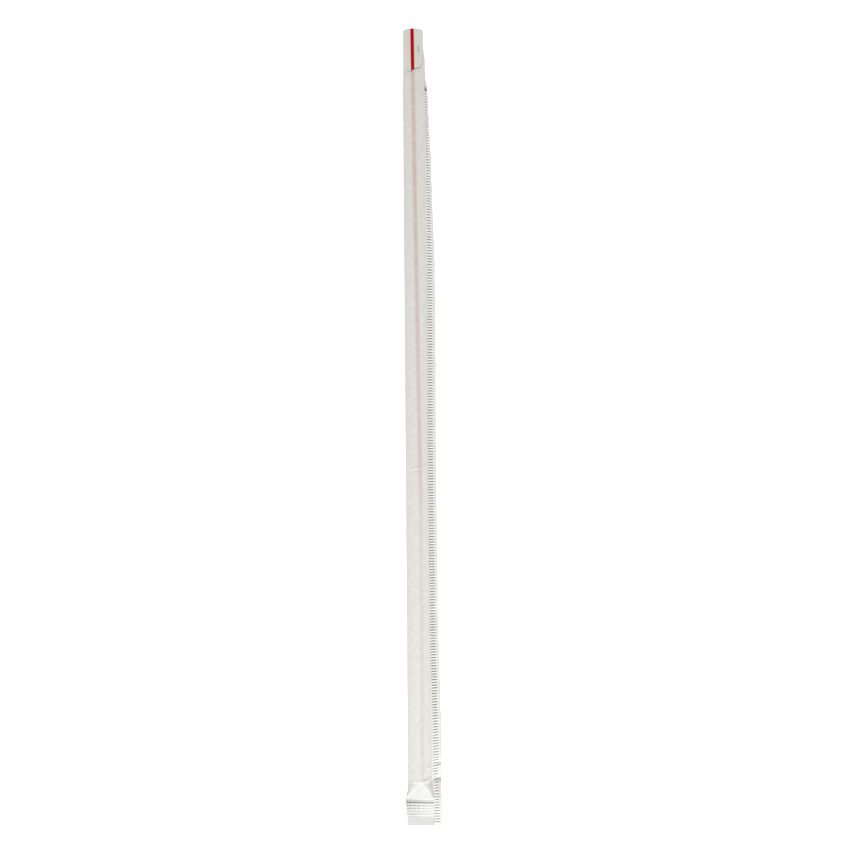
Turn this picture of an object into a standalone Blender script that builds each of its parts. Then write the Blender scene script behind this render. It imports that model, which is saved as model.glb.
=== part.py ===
"""A drinking straw lying in its paper wrapper, with the wrapper torn open at one end.

Two pieces: an extruded plastic tube with a stripe in its wall, and one strip of thin paper
folded round it. The strip's long edges are pressed together into a knurled seam that stands
out of the tube's side, and its far end is pressed flat into a knurled end seal.

The straw lies along Y with its open mouth at +Y, on a table at Z = 0. The seam is at +X and
sags to the table between its ends. Lengths are in metres and angles in degrees. A place along
the straw is given by its distance from the straw's mouth.
"""

import math

import bmesh
import bpy
from mathutils import Matrix, Vector

# The straw, a thin tube with a coloured stripe that turns slowly round it
STRAW_LENGTH = 0.197
STRAW_DIAMETER = 0.0054
STRAW_WALL = 0.0002
STRAW_LIP = 0.00005
STRIPE_WIDTH = 0.0009
STRIPE_AT_MOUTH = 93.0
STRIPE_TURN = -25.0

# The paper tube round the straw
PAPER = 0.00006
PLAY = 0.0004
PLAY_AT_MOUTH = 0.0002
SIDE_GAP = 0.0001
SNUG_LENGTH = 0.07

# The torn mouth of the paper, with a tongue left standing beside the seam
EXPOSED = 0.0107
TEAR_SLANT = 0.0008
TONGUE_HEIGHT = 0.005
TONGUE_AT = -14.0
TONGUE_SPREAD = 58.0

# The seam along the tube: its root turns below level and rises again to the end seal
SEAM_WIDTH = 0.0029
SEAM_BELOW_TEAR = 0.001
SEAM_TIP = 0.0006
SEAM_TEAR = 0.0125
SEAM_TURN_AT_MOUTH = 8.0
SEAM_TURN_AT_MIDDLE = 30.0
SEAM_TURN_AT_END = 5.0
SEAM_TURN_LENGTH = 0.08
SEAM_LIFT_LENGTH = 0.04
SEAM_STEEPEST = 66.0

# The knurled ribs that bond the two plies, in the seam and across the end seal
KNURL_BELOW_SEAM_START = 0.003
KNURL_PITCH = 0.00072
KNURL_DEPTH = 0.0002
KNURL_INSET = 0.0006
KNURL_WIDTH = 0.0018

# The far end: the tube closes over a short gable into the flat end seal
END_GAP = 0.0003
GABLE_LENGTH = 0.0046
GABLE_APEX_TOP = 70.0
GABLE_APEX_BOTTOM = 270.0
END_FLATTENING = 0.0001
FLAT_GATHER = 0.74
FLAT_SHIFT = 0.0001
SEAL_KNURL_LENGTH = 0.0048
SEAL_MARGIN = 0.0024
SEAL_SLANT = 0.0006

# One crease where the paper tube has been bent
CREASE_AT = 0.1139
CREASE_RUN = 0.0037
CREASE_HEIGHT = 0.00025
CREASE_DIP = 0.00005
CREASE_REACH = 0.0008

# How finely the round walls are divided
STRAW_SIDES = 36
STRAW_STRETCHES = 6
WRAPPER_SIDES = 24
WRAPPER_STEP = 0.009

# What follows from the sizes above
STRAW_RADIUS = STRAW_DIAMETER / 2
WRAP_RADIUS = STRAW_RADIUS + PLAY / 2 + PAPER
AXIS_HEIGHT = WRAP_RADIUS
SEAM_START = EXPOSED + TEAR_SLANT + SEAM_BELOW_TEAR
KNURL_START = SEAM_START + KNURL_BELOW_SEAM_START
GABLE_AT = STRAW_LENGTH + END_GAP
SEAL_AT = GABLE_AT + GABLE_LENGTH
MARGIN_AT = SEAL_AT + SEAL_KNURL_LENGTH
TOTAL_LENGTH = MARGIN_AT + SEAL_MARGIN
FLAT_HALF = math.pi * WRAP_RADIUS * FLAT_GATHER / 2
FLAT_LEFT = -FLAT_HALF - FLAT_SHIFT
FLAT_RIGHT = FLAT_HALF - FLAT_SHIFT
SEAL_EDGE = FLAT_RIGHT + SEAM_WIDTH
AXIS_X = -(FLAT_LEFT + SEAL_EDGE) / 2

COLOURS = {
    "straw": (0.62, 0.61, 0.585),
    "stripe": (0.45, 0.004, 0.006),
    "paper": (0.72, 0.70, 0.66),
}


def smooth(share):
    """An S-shaped step from 0 to 1."""
    share = min(1.0, max(0.0, share))
    return share * share * (3 - 2 * share)


def between(low, high, share):
    return low + (high - low) * share


def place(across, distance, height):
    """A point from its place across the straw's axis, along it, and above the table."""
    return Vector((AXIS_X + across, TOTAL_LENGTH / 2 - distance, height))


def lift(distance):
    """How far the seam has risen from the table towards the end seal, from 0 to 1."""
    return smooth((distance - (GABLE_AT - SEAM_LIFT_LENGTH)) / SEAM_LIFT_LENGTH)


def seam_turn(distance):
    """How far below level the seam's root lies on the paper tube, in degrees."""
    turned = smooth((distance - EXPOSED) / SEAM_TURN_LENGTH)
    turn = between(SEAM_TURN_AT_MOUTH, SEAM_TURN_AT_MIDDLE, turned)
    return between(turn, SEAM_TURN_AT_END, lift(distance))


def seam_width(distance):
    """The seam is torn away on a slant beside the mouth."""
    share = (distance - SEAM_START) / SEAM_TEAR
    return between(SEAM_TIP, SEAM_WIDTH, min(1.0, max(0.0, share)))


def paper_radius(distance):
    """The paper tube is snug at the torn mouth and looser further down."""
    play = between(PLAY_AT_MOUTH, PLAY, smooth((distance - EXPOSED) / SNUG_LENGTH))
    return STRAW_RADIUS + play / 2 + PAPER


def crease(turn, distance):
    """The height of the crease's ridge, and of the dip on each side of it."""
    degrees = turn % 360
    if degrees > 180:
        fade = 0.0
    else:
        fade = math.sin(math.radians(degrees)) ** 0.5
    offset = abs(distance - crease_place(turn)) / CREASE_REACH
    if offset < 1e-6:
        return CREASE_HEIGHT * fade
    if offset < 1.5:
        return -CREASE_DIP * fade
    return 0.0


def crease_place(turn):
    """The crease runs down from the seam's side over the top to the other side."""
    share = min(1.0, (turn % 360) / 150) if turn % 360 <= 180 else 0.5
    return CREASE_AT + CREASE_RUN * share


def tube_point(turn, distance, inset):
    """A point of the paper tube, inset from its outer face by the paper's thickness or 0."""
    radius = paper_radius(distance)
    spread = END_FLATTENING * lift(distance)
    ridge = crease(turn, distance)
    angle = math.radians(turn)
    centre = radius - PAPER - STRAW_RADIUS - SIDE_GAP + spread
    across = centre + (radius + spread - inset + ridge) * math.cos(angle)
    height = AXIS_HEIGHT + (radius - spread - inset + ridge) * math.sin(angle)
    return place(across, distance, height)


def mouth_distance(turn):
    """Where the torn edge lies at this side of the tube."""
    away = abs((turn - TONGUE_AT + 180) % 360 - 180)
    tongue = TONGUE_HEIGHT * max(0.0, 1 - away / TONGUE_SPREAD) ** 1.3
    return EXPOSED - TEAR_SLANT * math.cos(math.radians(turn)) - tongue


def seam_section(distance):
    """The seam's root, its outward direction and its upward normal at this distance."""
    if distance >= SEAL_AT:
        root = place(FLAT_RIGHT, distance, AXIS_HEIGHT)
        return root, Vector((1, 0, 0)), Vector((0, 0, 1))
    if distance > GABLE_AT:
        share = (distance - GABLE_AT) / GABLE_LENGTH
        root_before, out_before, up_before = seam_section(GABLE_AT)
        root_after, out_after, up_after = seam_section(SEAL_AT)
        root = root_before.lerp(root_after, share)
        return root, out_before.lerp(out_after, share), up_before.lerp(up_after, share)
    root = tube_point(-seam_turn(distance), distance, 0)
    drop = (root.z - PAPER) / seam_width(distance)
    steepest = math.sin(math.radians(SEAM_STEEPEST))
    droop = math.asin(min(drop, steepest)) * (1 - lift(distance))
    out = Vector((math.cos(droop), 0, -math.sin(droop)))
    return root, out, Vector((-out.z, 0, out.x))


def knurl_rise(distance):
    """Ribs alternate up and down at half the pitch, and the seam is plain outside them."""
    if distance < KNURL_START or distance > TOTAL_LENGTH - KNURL_PITCH / 2:
        return 0.0
    step = round((distance - KNURL_START) / (KNURL_PITCH / 2))
    return KNURL_DEPTH / 2 if step % 2 else -KNURL_DEPTH / 2


def knurl_places(start, end, every=1):
    """The rib lines that fall between two distances: all of them, or every second one."""
    half = KNURL_PITCH / 2
    first = math.ceil((start - KNURL_START) / half + 0.25)
    last = math.floor((end - KNURL_START) / half - 0.25)
    steps = [step for step in range(first, last + 1) if step % every == 0]
    return [KNURL_START + half * step for step in steps]


def seam_point(reach, side, distance, knurled):
    """A point on the seam's upper (side 1) or lower (side -1) face, reach out from its root."""
    root, out, up = seam_section(distance)
    rise = knurl_rise(distance) if knurled else 0.0
    return root + out * reach + up * (side * PAPER + rise)


def stitch(mesh, near, far):
    """Triangles between two rows of points that run the same way, by their own places."""
    i = 0
    j = 0
    while i < len(near) - 1 or j < len(far) - 1:
        near_next = near[i + 1].co.y if i < len(near) - 1 else -math.inf
        far_next = far[j + 1].co.y if j < len(far) - 1 else -math.inf
        if near_next >= far_next:
            mesh.faces.new((near[i], near[i + 1], far[j]))
            i += 1
        else:
            mesh.faces.new((near[i], far[j + 1], far[j]))
            j += 1


def ribbon(mesh, near, far):
    """Four-sided faces between two rows with as many points as each other."""
    for index in range(len(near) - 1):
        mesh.faces.new((near[index], near[index + 1], far[index + 1], far[index]))


def fan(mesh, apex, row):
    """Triangles from one corner to a row of points."""
    for first, second in zip(row, row[1:]):
        mesh.faces.new((apex, first, second))


def row_of(mesh, points):
    return [mesh.verts.new(point) for point in points]


def spaced(start, end, step):
    """Even places from start to end, both included, no further apart than step."""
    count = max(1, math.ceil((end - start) / step))
    return [between(start, end, index / count) for index in range(count + 1)]


def tube_stations(turn):
    """Where the paper tube has points along one of its lines, from the torn mouth down."""
    crease_end = CREASE_AT + CREASE_RUN
    clear = 4 * CREASE_REACH
    middle = crease_place(turn)
    ridge = [middle + CREASE_REACH * offset for offset in (-2, -1, 0, 1, 2)]
    before = spaced(KNURL_START, CREASE_AT - clear, WRAPPER_STEP)
    after = spaced(crease_end + clear, GABLE_AT, WRAPPER_STEP)
    return [mouth_distance(turn), SEAM_START] + before + ridge + after


def wrapper_turns(distance, root_gap):
    """The angles of the tube's lines at this distance, from the seam's root round to it again."""
    start = -seam_turn(distance)
    whole = 360 - 2 * root_gap
    steps = WRAPPER_SIDES
    return [start + root_gap + whole * index / steps for index in range(steps + 1)]


def seam_stations(start, end):
    """Where the seam's root and its outer edge have points: one for each rib."""
    return [start] + knurl_places(start, end, 2) + [end]


def tube_rows(mesh, inset, root_gap, count):
    """The tube's lines on its outer face (inset 0) or its inner face (inset PAPER)."""
    rows = []
    for index in range(count):
        nominal = wrapper_turns(EXPOSED, root_gap)[index]
        stations = tube_stations(nominal)
        if root_gap and index in (0, WRAPPER_SIDES):
            stations = [stations[0], SEAM_START] + seam_stations(KNURL_START, GABLE_AT)
        points = []
        for distance in stations:
            turn = wrapper_turns(max(distance, EXPOSED), root_gap)[index]
            points.append(tube_point(turn, distance, inset))
        rows.append(row_of(mesh, points))
    return rows


def nearest_line(turn):
    """The number of the tube's line that lies nearest this angle at the gable."""
    turns = wrapper_turns(GABLE_AT, 0)
    return min(range(1, WRAPPER_SIDES), key=lambda index: abs(turns[index] - turn))


def tube_skin(mesh, rows):
    """One face of the paper tube, up to the gable."""
    for near, far in zip(rows, rows[1:]):
        if len(near) == len(far):
            ribbon(mesh, near, far)
        else:
            stitch(mesh, near, far)


def gable(mesh, ends, left, right, lines, roots):
    """The tube's end closed onto two corners: a flat three-cornered face above and below."""
    top, side, bottom = lines
    left_top, left_bottom = left
    right_top, right_bottom = right
    fan(mesh, ends[1], [ends[0]] + roots[0] + [right_top])
    fan(mesh, right_top, ends[1: top + 1])
    mesh.faces.new((ends[top], left_top, right_top))
    fan(mesh, left_top, ends[top: side + 1])
    if left_top is not left_bottom:
        mesh.faces.new((ends[side], left_top, left_bottom))
    fan(mesh, left_bottom, ends[side: bottom + 1])
    mesh.faces.new((ends[bottom], left_bottom, right_bottom))
    fan(mesh, right_bottom, ends[bottom: -1])
    fan(mesh, ends[-2], [ends[-1]] + roots[1] + [right_bottom])


def seal_rows(mesh, side):
    """The left edge and the seam's root along the end seal, on its upper or lower face."""
    left = []
    right = []
    ribs = knurl_places(SEAL_AT, MARGIN_AT)
    for distance in [SEAL_AT] + ribs + [MARGIN_AT, TOTAL_LENGTH]:
        rise = knurl_rise(distance) if distance in ribs else 0.0
        height = AXIS_HEIGHT + side * PAPER + rise
        share = (distance - SEAL_AT) / (TOTAL_LENGTH - SEAL_AT)
        left.append(place(FLAT_LEFT + SEAL_SLANT * share, distance, height))
        right.append(place(FLAT_RIGHT, distance, height))
    return row_of(mesh, left), row_of(mesh, right)


def seam_rows(mesh, side):
    """The knurled band's two borders and the seam's outer edge, on one face of the seam."""
    plain = [SEAM_START, KNURL_START]
    ribs = knurl_places(KNURL_START, TOTAL_LENGTH)
    inner = []
    outer = []
    for distance in plain + ribs + [TOTAL_LENGTH]:
        width = seam_width(distance)
        inset = min(KNURL_INSET, 0.3 * width)
        end = min(KNURL_INSET + KNURL_WIDTH, 0.85 * width)
        knurled = distance in ribs
        inner.append(seam_point(inset, side, distance, knurled))
        outer.append(seam_point(end, side, distance, knurled))
    stations = [SEAM_START] + seam_stations(KNURL_START, GABLE_AT)
    stations += seam_stations(GABLE_AT, SEAL_AT)[1:] + seam_stations(SEAL_AT, TOTAL_LENGTH)[1:]
    edge = [seam_point(seam_width(distance), side, distance, False) for distance in stations]
    return row_of(mesh, inner), row_of(mesh, outer), row_of(mesh, edge)


def gable_root(mesh, side):
    """The seam's root on one face of the seam, between the tube's end and the end seal."""
    between_ends = seam_stations(GABLE_AT, SEAL_AT)[1:-1]
    return row_of(mesh, [seam_point(0, side, distance, False) for distance in between_ends])


def wrapper_mesh():
    """The folded paper: the tube's two faces, the seam, the gable and the end seal."""
    mesh = bmesh.new()
    root_gap = math.degrees(PAPER / WRAP_RADIUS)
    outside = tube_rows(mesh, 0, root_gap, WRAPPER_SIDES + 1)
    inside = tube_rows(mesh, PAPER, 0, WRAPPER_SIDES)
    tube_skin(mesh, outside)
    tube_skin(mesh, inside + inside[:1])

    # The torn edge joins the two faces, and the tongue closes over the seam's root
    for index in range(WRAPPER_SIDES):
        after = inside[(index + 1) % WRAPPER_SIDES]
        mesh.faces.new((outside[index][0], outside[index + 1][0], after[0], inside[index][0]))
    mesh.faces.new((outside[-1][0], outside[0][0], inside[0][0]))
    mesh.faces.new((outside[-1][0], outside[-1][1], outside[0][1], outside[0][0]))

    # The end seal, the seam and the gable between the tube and the seal
    left_top, root_top = seal_rows(mesh, 1)
    left_bottom, root_bottom = seal_rows(mesh, -1)
    ribbon(mesh, left_top, root_top)
    ribbon(mesh, left_bottom, root_bottom)
    ribbon(mesh, left_top, left_bottom)
    upper = seam_rows(mesh, 1)
    lower = seam_rows(mesh, -1)
    roots = (gable_root(mesh, 1), gable_root(mesh, -1))
    for root, (inner, outer, edge) in ((outside[0][1:] + roots[0] + root_top, upper),
                                       (outside[-1][1:] + roots[1] + root_bottom, lower)):
        stitch(mesh, root, inner)
        ribbon(mesh, inner, outer)
        stitch(mesh, outer, edge)
    ribbon(mesh, upper[2], lower[2])
    start = [row[0] for row in upper] + [row[0] for row in reversed(lower)]
    mesh.faces.new([outside[0][1]] + start + [outside[-1][1]])
    end = [row[-1] for row in upper] + [row[-1] for row in reversed(lower)]
    mesh.faces.new([left_top[-1], root_top[-1]] + end + [root_bottom[-1], left_bottom[-1]])

    lines = [nearest_line(turn) for turn in (GABLE_APEX_TOP, 180, GABLE_APEX_BOTTOM)]
    ends = [row[-1] for row in outside]
    left = (left_top[0], left_bottom[0])
    right = (root_top[0], root_bottom[0])
    gable(mesh, ends, left, right, lines, roots)
    depth = SEAL_AT - 2 * PAPER
    inner_left, inner_right = row_of(mesh, [
        place(FLAT_LEFT + 2 * PAPER, depth, AXIS_HEIGHT),
        place(FLAT_RIGHT - 2 * PAPER, depth, AXIS_HEIGHT),
    ])
    ends = [row[-1] for row in inside + inside[:1]]
    left = (inner_left, inner_left)
    right = (inner_right, inner_right)
    gable(mesh, ends, left, right, lines, ([], []))
    bmesh.ops.recalc_face_normals(mesh, faces=mesh.faces)
    return mesh


def straw_mesh():
    """The tube's wall spun round its axis, then turned slowly so that its stripe winds."""
    mesh = bmesh.new()
    stretch = spaced(STRAW_LIP, STRAW_LENGTH - STRAW_LIP, STRAW_LENGTH / STRAW_STRETCHES)
    bore = STRAW_RADIUS - STRAW_WALL
    outline = [(STRAW_RADIUS, distance) for distance in stretch]
    outline += [(STRAW_RADIUS - STRAW_LIP, STRAW_LENGTH), (bore + STRAW_LIP, STRAW_LENGTH)]
    outline += [(bore, distance) for distance in reversed(stretch)]
    outline += [(bore + STRAW_LIP, 0.0), (STRAW_RADIUS - STRAW_LIP, 0.0)]
    ring = [mesh.verts.new((radius, -distance, 0)) for radius, distance in outline]
    for first, second in zip(ring, ring[1:] + ring[:1]):
        mesh.edges.new((first, second))
    bmesh.ops.spin(
        mesh, geom=mesh.verts[:] + mesh.edges[:], cent=(0, 0, 0), axis=(0, 1, 0),
        angle=math.tau, steps=STRAW_SIDES, use_merge=True)
    bmesh.ops.recalc_face_normals(mesh, faces=mesh.faces)

    # The stripe goes right through the wall, on a whole number of the tube's sides
    side = 360 / STRAW_SIDES
    half = max(1, round(math.degrees(STRIPE_WIDTH / STRAW_RADIUS) / side)) * side / 2
    for face in mesh.faces:
        centre = face.calc_center_median()
        turn = math.degrees(math.atan2(centre.z, centre.x))
        face.material_index = int(abs(turn - 90) < half)
    for vert in mesh.verts:
        turn = STRIPE_AT_MOUTH - 90 + STRIPE_TURN * -vert.co.y / STRAW_LENGTH
        vert.co = Matrix.Rotation(math.radians(-turn), 3, "Y") @ vert.co
    bmesh.ops.translate(mesh, verts=mesh.verts, vec=place(0, 0, AXIS_HEIGHT))
    return mesh


def material(name, roughness):
    made = bpy.data.materials.new(name)
    made.use_nodes = True
    shader = made.node_tree.nodes["Principled BSDF"]
    shader.inputs["Base Color"].default_value = (*COLOURS[name], 1)
    shader.inputs["Roughness"].default_value = roughness
    made.diffuse_color = (*COLOURS[name], 1)
    return made


def add_piece(name, mesh, materials, collection):
    """An object from a mesh, shaded smooth over its round walls and sharp at its folds."""
    data = bpy.data.meshes.new(name)
    mesh.to_mesh(data)
    mesh.free()
    for each in materials:
        data.materials.append(each)
    data.shade_smooth()
    data.set_sharp_from_angle(angle=math.radians(30))
    collection.objects.link(bpy.data.objects.new(name, data))


def build():
    for item in list(bpy.data.objects):
        bpy.data.objects.remove(item)
    collection = bpy.data.collections.new("wrapped_drinking_straw")
    bpy.context.scene.collection.children.link(collection)
    plastic = material("straw", 0.35)
    stripe = material("stripe", 0.35)
    paper = material("paper", 0.85)
    add_piece("straw", straw_mesh(), [plastic, stripe], collection)
    add_piece("paper_wrapper", wrapper_mesh(), [paper], collection)


build()
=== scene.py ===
# %% [markdown]
# # A drinking straw in its paper wrapper
# A restaurant straw is two things: a thin plastic tube with a coloured stripe in its wall, and one
# strip of tissue-thin paper folded round it. The paper's long edges are pressed together between
# toothed wheels into a side seam, its far end is pressed flat, and the near end has been torn off.
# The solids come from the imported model, so the first step is to load it and keep its box.

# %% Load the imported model
import math

import bmesh
import bpy
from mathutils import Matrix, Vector, noise


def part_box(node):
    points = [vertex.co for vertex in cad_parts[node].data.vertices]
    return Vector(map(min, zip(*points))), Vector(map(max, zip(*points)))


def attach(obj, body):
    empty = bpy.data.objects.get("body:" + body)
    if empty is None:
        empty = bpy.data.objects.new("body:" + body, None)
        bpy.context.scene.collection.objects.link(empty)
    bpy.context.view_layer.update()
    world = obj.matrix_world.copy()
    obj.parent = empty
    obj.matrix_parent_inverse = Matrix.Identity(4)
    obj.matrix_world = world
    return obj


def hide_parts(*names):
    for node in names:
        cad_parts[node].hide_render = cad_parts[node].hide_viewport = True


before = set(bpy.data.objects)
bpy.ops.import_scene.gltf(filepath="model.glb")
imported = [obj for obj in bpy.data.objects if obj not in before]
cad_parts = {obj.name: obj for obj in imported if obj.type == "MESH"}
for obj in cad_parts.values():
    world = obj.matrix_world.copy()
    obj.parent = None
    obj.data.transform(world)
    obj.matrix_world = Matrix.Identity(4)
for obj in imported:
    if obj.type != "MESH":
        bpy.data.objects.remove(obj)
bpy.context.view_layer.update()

MM = 0.001

# %% [markdown]
# ## Places that everything is measured from
# The straw's solid says where its axis, its mouth and its end are. Every place below is given the
# way a person with a ruler would: how far across from the axis, how far down from the straw's
# mouth, and how high above the table.

# %% Read the straw's place from its solid
straw_low, straw_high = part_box("straw")
wrapper_low, wrapper_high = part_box("paper_wrapper")
AXIS_ACROSS = (straw_low[0] + straw_high[0]) / 2
AXIS_HEIGHT = (straw_low[2] + straw_high[2]) / 2
STRAW_RADIUS = (straw_high[0] - straw_low[0]) / 2
STRAW_LENGTH = straw_high[1] - straw_low[1]
MOUTH_Y = straw_high[1]
TOTAL_LENGTH = MOUTH_Y - wrapper_low[1]


def place(across, distance, height):
    """A point from its place across the axis, its distance from the mouth and its height."""
    return Vector((AXIS_ACROSS + across, MOUTH_Y - distance, height))


def clamp(share):
    return min(1.0, max(0.0, share))


def smooth(share):
    """An S-shaped step from 0 to 1."""
    share = clamp(share)
    return share * share * (3 - 2 * share)


def between(low, high, share):
    return low + (high - low) * share


def rise(value, start, run):
    """A step from 0 to 1 that begins at this start and takes this run, in millimetres."""
    return smooth((value - start * MM) / (run * MM))


def along(stations, distance):
    """Reads a value at this distance from a short list of (distance, value) in millimetres."""
    spot = distance / MM
    if spot <= stations[0][0]:
        return stations[0][1] * MM
    for (before, low), (after, high) in zip(stations, stations[1:]):
        if spot <= after:
            return between(low, high, smooth((spot - before) / (after - before))) * MM
    return stations[-1][1] * MM


print("straw", round(STRAW_LENGTH / MM, 1), "by", round(2 * STRAW_RADIUS / MM, 2), "mm")

# %% [markdown]
# ## The camera
# The straw is seen from straight above, a little turned, by a lens about as far away as the straw
# is long. So near a camera shows the top of the round wall pushed outwards at both ends, which is
# why the mouth's rim looks arched. A long lens would flatten that, so distance comes first, and
# the lens is then worked out from how much of the table the picture shows.

# %% Set the camera
CAMERA_DISTANCE = 0.37
PICTURE_WIDTH = 223.72 * MM
SENSOR_WIDTH = 36
CAMERA_ACROSS = 2.40 * MM
CAMERA_DOWN = 103.65 * MM
CAMERA_TURN = -0.43

camera_data = bpy.data.cameras.new("camera")
camera_data.sensor_width = SENSOR_WIDTH
camera_data.lens = SENSOR_WIDTH * CAMERA_DISTANCE / PICTURE_WIDTH
camera = bpy.data.objects.new("camera", camera_data)
camera.location = place(CAMERA_ACROSS, CAMERA_DOWN, AXIS_HEIGHT + CAMERA_DISTANCE)
camera.rotation_euler = (0, 0, math.radians(CAMERA_TURN))
bpy.context.scene.collection.objects.link(camera)
bpy.context.scene.camera = camera
bpy.context.scene.view_settings.view_transform = "Standard"
print("lens", round(camera_data.lens, 1), "mm")

# %% [markdown]
# ## Helpers for materials
# A colour given here is an sRGB value, while a shader wants linear light, so one function turns
# the one into the other. Another adds any node with its settings and its links, which keeps each
# material readable as a list of what feeds what. It hands back the node's output, so that the
# next node can be fed with it.

# %% Define the material helpers


def linear(code):
    """An sRGB hex colour as linear red, green, blue and 1."""
    values = [int(code[index:index + 2], 16) / 255 for index in (1, 3, 5)]
    values = [v / 12.92 if v <= 0.04045 else ((v + 0.055) / 1.055) ** 2.4 for v in values]
    return (*values, 1.0)


def new_material(name):
    material = bpy.data.materials.new(name)
    material.use_nodes = True
    tree = material.node_tree
    return material, tree, tree.nodes["Principled BSDF"]


def feed(tree, made, *ordered, **named):
    """Feeds a node's inputs in their order and by name, from values or other nodes' outputs."""
    pairs = list(zip([socket for socket in made.inputs if socket.enabled], ordered))
    pairs += [(made.inputs[name.replace("_", " ")], value) for name, value in named.items()]
    for socket, value in pairs:
        if isinstance(value, bpy.types.NodeSocket):
            tree.links.new(value, socket)
        else:
            socket.default_value = value


def node(tree, kind, *ordered, **named):
    """Adds a node. A small name is one of its settings, and a capital begins an input's name."""
    made = tree.nodes.new("ShaderNode" + kind)
    for name in [name for name in named if name.islower()]:
        setattr(made, name, named.pop(name))
    feed(tree, made, *ordered, **named)
    return next(socket for socket in made.outputs if socket.enabled)


print("paper white in linear light:", [round(v, 3) for v in linear("#e8e5df")[:3]])

# %% [markdown]
# ## Where the stripe is
# The stripe is squeezed into the wall as the tube leaves the die, so it has no edge to feel and is
# a matter of colour alone. It winds slowly round the straw for the first half of its length. Both
# the plastic and the paper over it need it, so one function finds how far a point is from the
# stripe's middle, measured round the wall, from the angle about the straw's axis.

# %% Define the stripe's distance
STRIPE_WIDTH = 0.92 * MM
STRIPE_START_TURN = 95.0
STRIPE_END_TURN = 67.5
STRIPE_TURNS_OVER = 126 * MM


def turn_and_place(tree, position):
    """A point's angle about the straw's axis, and its place along Y."""
    parts = node(tree, "SeparateXYZ", position).node.outputs
    across = node(tree, "Math", parts[0], AXIS_ACROSS, operation="SUBTRACT")
    height = node(tree, "Math", parts[2], AXIS_HEIGHT, operation="SUBTRACT")
    return node(tree, "Math", height, across, operation="ARCTAN2"), parts[1]


def stripe_distance(tree):
    """How far round the wall a point lies from the stripe's middle, and its place along Y."""
    position = node(tree, "TexCoord").node.outputs["Object"]
    turn, place_along = turn_and_place(tree, position)
    middle = node(tree, "MapRange", place_along, MOUTH_Y, MOUTH_Y - STRIPE_TURNS_OVER,
                  math.radians(STRIPE_START_TURN), math.radians(STRIPE_END_TURN))
    away = node(tree, "Math", turn, middle, operation="SUBTRACT")
    away = node(tree, "Math", away, operation="ABSOLUTE")
    return node(tree, "Math", away, STRAW_RADIUS, operation="MULTIPLY"), place_along, position


print("stripe", round(STRIPE_WIDTH / MM, 2), "mm wide")

# %% [markdown]
# ## Extruded polypropylene
# The straw is natural polypropylene, which is milky, not clear: a thin wall of it looks a warm
# pale grey with a soft shine. Extrusion leaves faint lines along it, far finer than the picture
# shows, so they are drawn a few times coarser, as stretched noise in the roughness and the bump.

# %% Make the plastic
SOFT_STEP = {"interpolation_type": "SMOOTHSTEP"}
COLOURS = {"data_type": "RGBA"}
STRIPE_EDGE = 0.05 * MM
LINE_SIZE = 0.25 * MM
CLOUD_SIZE = 4 * MM
NICK_TURN = 58.0
NICK_DISTANCE = 5.15 * MM
NICK_LENGTH = 1.15 * MM
NICK_WIDTH = 0.16 * MM
NICK_SLANT = 0.13
NICK_DEPTH = 0.12 * MM


def nick_painted_shade(tree, position):
    """Where a short slanted nick on the bare end gets painted shade, as a share from 0 to 1."""
    turn, place_along = turn_and_place(tree, position)
    down = node(tree, "Math", MOUTH_Y - NICK_DISTANCE, place_along, operation="SUBTRACT")
    turned = node(tree, "Math", turn, math.radians(NICK_TURN), operation="SUBTRACT")
    slant = node(tree, "Math", down, NICK_SLANT, operation="MULTIPLY")
    sideways = node(tree, "Math", turned, STRAW_RADIUS, slant, operation="MULTIPLY_ADD")
    long_way = node(tree, "Math", down, NICK_LENGTH, operation="DIVIDE")
    short_way = node(tree, "Math", sideways, NICK_WIDTH, operation="DIVIDE")
    spread = node(tree, "Math", short_way, short_way, operation="MULTIPLY")
    spread = node(tree, "Math", long_way, long_way, spread, operation="MULTIPLY_ADD")
    return node(tree, "MapRange", spread, 0.2, 1.3, 0.75, 0, **SOFT_STEP)


def polypropylene():
    material, tree, shader = new_material("extruded_polypropylene")
    away, _, position = stripe_distance(tree)
    inside = node(tree, "MapRange", away, STRIPE_WIDTH / 2 - STRIPE_EDGE,
                  STRIPE_WIDTH / 2 + STRIPE_EDGE, 1, 0, **SOFT_STEP)
    drawn_out = node(tree, "Mapping", position, Scale=(1, 0.02, 1))
    lines = node(tree, "TexNoise", drawn_out, Scale=1 / LINE_SIZE, Detail=3)
    cloud = node(tree, "TexNoise", position, Scale=1 / CLOUD_SIZE)
    cloud = node(tree, "MapRange", cloud, 0.35, 0.65, **SOFT_STEP)
    milky = node(tree, "Mix", cloud, linear("#dad7cf"), linear("#dedbd4"), **COLOURS)
    # painted shade: the nick is darkened in the colour as well as dented in the mesh
    milky = node(tree, "Mix", nick_painted_shade(tree, position), milky, linear("#857f78"), **COLOURS)
    red = node(tree, "Mix", lines, linear("#ad0005"), linear("#b80008"), **COLOURS)
    rough = node(tree, "MapRange", lines, 0.3, 0.7, 0.3, 0.42, **SOFT_STEP)
    bump = node(tree, "Bump", Strength=0.08, Distance=0.02 * MM, Height=lines)
    feed(tree, shader, Base_Color=node(tree, "Mix", inside, milky, red, **COLOURS), IOR=1.49,
         Specular_IOR_Level=0.14, Roughness=rough, Normal=bump)
    return material


PLASTIC = polypropylene()
print("material:", PLASTIC.name)

# %% [markdown]
# ## The straw
# A tube could be a cylinder with a smaller one cut out of it, but its wall is what is simple: a
# long thin rectangle with rounded corners. So that outline is drawn once, rounded with a bevel and
# spun round the axis. More points are put along the part that stands out of the paper, because a
# small nick is pressed in there afterwards.

# %% Spin the straw
STRAW_WALL = 0.2 * MM
LIP_ROUNDING = 0.3 * STRAW_WALL
STRAW_SIDES = 72
BARE_LENGTH = 12 * MM
BARE_CUTS = 60
COVERED_CUTS = 24


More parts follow.
